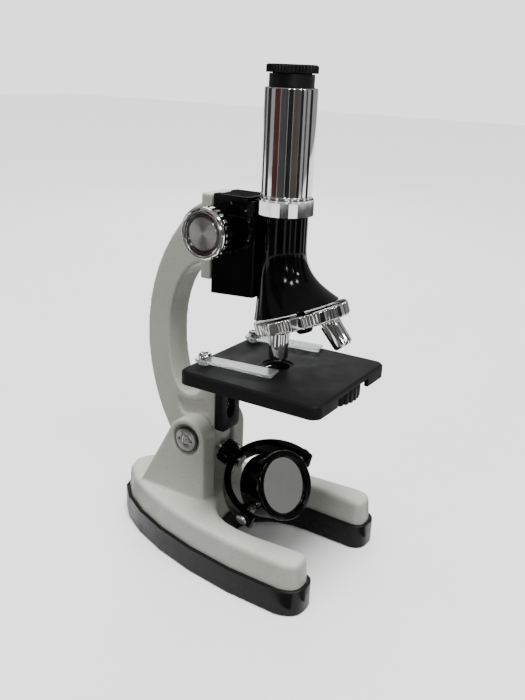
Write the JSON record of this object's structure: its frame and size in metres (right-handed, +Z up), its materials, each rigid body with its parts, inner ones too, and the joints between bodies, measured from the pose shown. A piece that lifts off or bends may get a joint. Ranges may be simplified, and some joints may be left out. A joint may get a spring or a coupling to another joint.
{
  "type": "school microscope",
  "caption": "Small school microscope: horseshoe foot, tilting C-shaped arm, square stage with clips, rack-focused tube, objective turret and a mirror drum in a fork.",
  "frame": {"origin": "middle of the foot's outline on the surface it stands on", "axes": "+Z up along the tube; -Y towards the open side of the horseshoe and the front of the stage; +X to the right seen from the front of the stage's opposite side, along the tilt and focus shafts"},
  "size_m": [0.0836, 0.1232, 0.2214],
  "materials": {
    "cast_paint": "light grey satin paint on cast metal",
    "gloss_black": "glossy black",
    "stage_black": "satin black, worn a little at the edges",
    "wheel_black": "semi-matte black, knurled",
    "chrome": "bright chrome plate",
    "spun_metal": "spun face, fine rings",
    "steel": "plain machined",
    "brass": "cut teeth, plain",
    "clear_plastic": "clear, a little frosted, bright cut edges",
    "frosted": "frosted white",
    "lens": "polished optical glass",
    "mirror": "silvered glass"
  },
  "bodies": {
    "base": {"base_shoe": "gloss_black", "base_casting": "cast_paint", "shoe_screw_1": "steel", "shoe_screw_2": "steel", "shoe_screw_3": "steel", "pivot_shaft": "steel", "pivot_disc_left": "spun_metal", "pivot_disc_right": "spun_metal", "pivot_screw_left": "steel", "pivot_screw_right": "steel"},
    "arm": {"arm_casting": "cast_paint", "stage_plate": "stage_black", "stage_post": "stage_black", "post_screw": "steel", "stage_screw_left": "steel", "stage_screw_right": "steel", "diaphragm_rivet": "steel", "clip_collar_left": "clear_plastic", "clip_collar_right": "clear_plastic", "clip_screw_left": "chrome", "clip_screw_right": "chrome", "focus_rack": "brass", "rack_screw_1": "steel", "rack_screw_2": "steel", "fork_stem": "steel"},
    "carriage": {"carriage_body": "gloss_black", "tube_collar": "chrome", "body_tube": "chrome", "turret_screw": "gloss_black"},
    "pinion": {"pinion_shaft": "steel", "focus_knob_left": "chrome", "focus_knob_right": "chrome", "knob_face_left": "spun_metal", "knob_face_right": "spun_metal"},
    "eyepiece": {"eyepiece_barrel": "wheel_black", "eyepiece_cap": "wheel_black", "eye_lens": "lens", "field_lens": "lens"},
    "turret": {"turret_disc": "chrome", "objective_1": "chrome", "objective_2": "chrome", "objective_lens_1": "lens", "objective_lens_2": "lens"},
    "clip_left": {"stage_clip_left": "clear_plastic"},
    "clip_right": {"stage_clip_right": "clear_plastic"},
    "diaphragm": {"diaphragm_wheel": "wheel_black"},
    "fork": {"mirror_fork": "gloss_black", "fork_pin_left": "steel", "fork_pin_right": "steel"},
    "nut": {"stem_nut": "gloss_black"},
    "drum": {"mirror_drum": "gloss_black", "mirror_glass": "mirror", "lamp_window": "frosted", "lamp_board": "stage_black", "lamp_bulb": "frosted"}
  },
  "joints": [
    {"name": "arm_tilt", "type": "hinge", "parent": "base", "child": "arm", "pos_m": [0, 0.0139, 0.0538], "axis": [-1, 0, 0], "range_deg": [0, 45]},
    {"name": "focus", "type": "slide", "parent": "arm", "child": "carriage", "axis": [0, 0, 1], "range_m": [-0.002, 0.01]},
    {"name": "pinion_turn", "type": "hinge", "parent": "carriage", "child": "pinion", "pos_m": [0, 0.0028, 0.1532], "axis": [1, 0, 0], "range_deg": [-195, 42]},
    {"name": "eyepiece_draw", "type": "slide", "parent": "carriage", "child": "eyepiece", "axis": [0, 0, 1], "range_m": [0, 0.012]},
    {"name": "turret_turn", "type": "hinge", "parent": "carriage", "child": "turret", "pos_m": [0, -0.0343, 0.119], "axis": [0, 0.342, 0.9397], "continuous": true},
    {"name": "clip_left_turn", "type": "hinge", "parent": "arm", "child": "clip_left", "pos_m": [-0.0202, 0.0016, 0.0965], "axis": [0, 0, 1], "range_deg": [-50, 8]},
    {"name": "clip_right_turn", "type": "hinge", "parent": "arm", "child": "clip_right", "pos_m": [0.0202, 0.0016, 0.0965], "axis": [0, 0, 1], "range_deg": [-30, 30]},
    {"name": "diaphragm_turn", "type": "hinge", "parent": "arm", "child": "diaphragm", "pos_m": [0.0036, -0.0389, 0.0886], "axis": [0, 0, 1], "continuous": true},
    {"name": "fork_turn", "type": "hinge", "parent": "arm", "child": "fork", "pos_m": [0.0004, -0.025, 0.0345], "axis": [0, 0.9397, 0.342], "range_deg": [-30, 30]},
    {"name": "nut_turn", "type": "hinge", "parent": "arm", "child": "nut", "pos_m": [0.0004, -0.025, 0.0345], "axis": [0, 0.9397, 0.342], "continuous": true},
    {"name": "drum_tilt", "type": "hinge", "parent": "fork", "child": "drum", "pos_m": [0.0004, -0.025, 0.0345], "axis": [0.9397, -0.117, 0.3214], "range_deg": [-60, 60]}
  ],
  "couplings": [
    {"joint": "pinion_turn", "follows": "focus", "rad_per_m": -333.33}
  ]
}
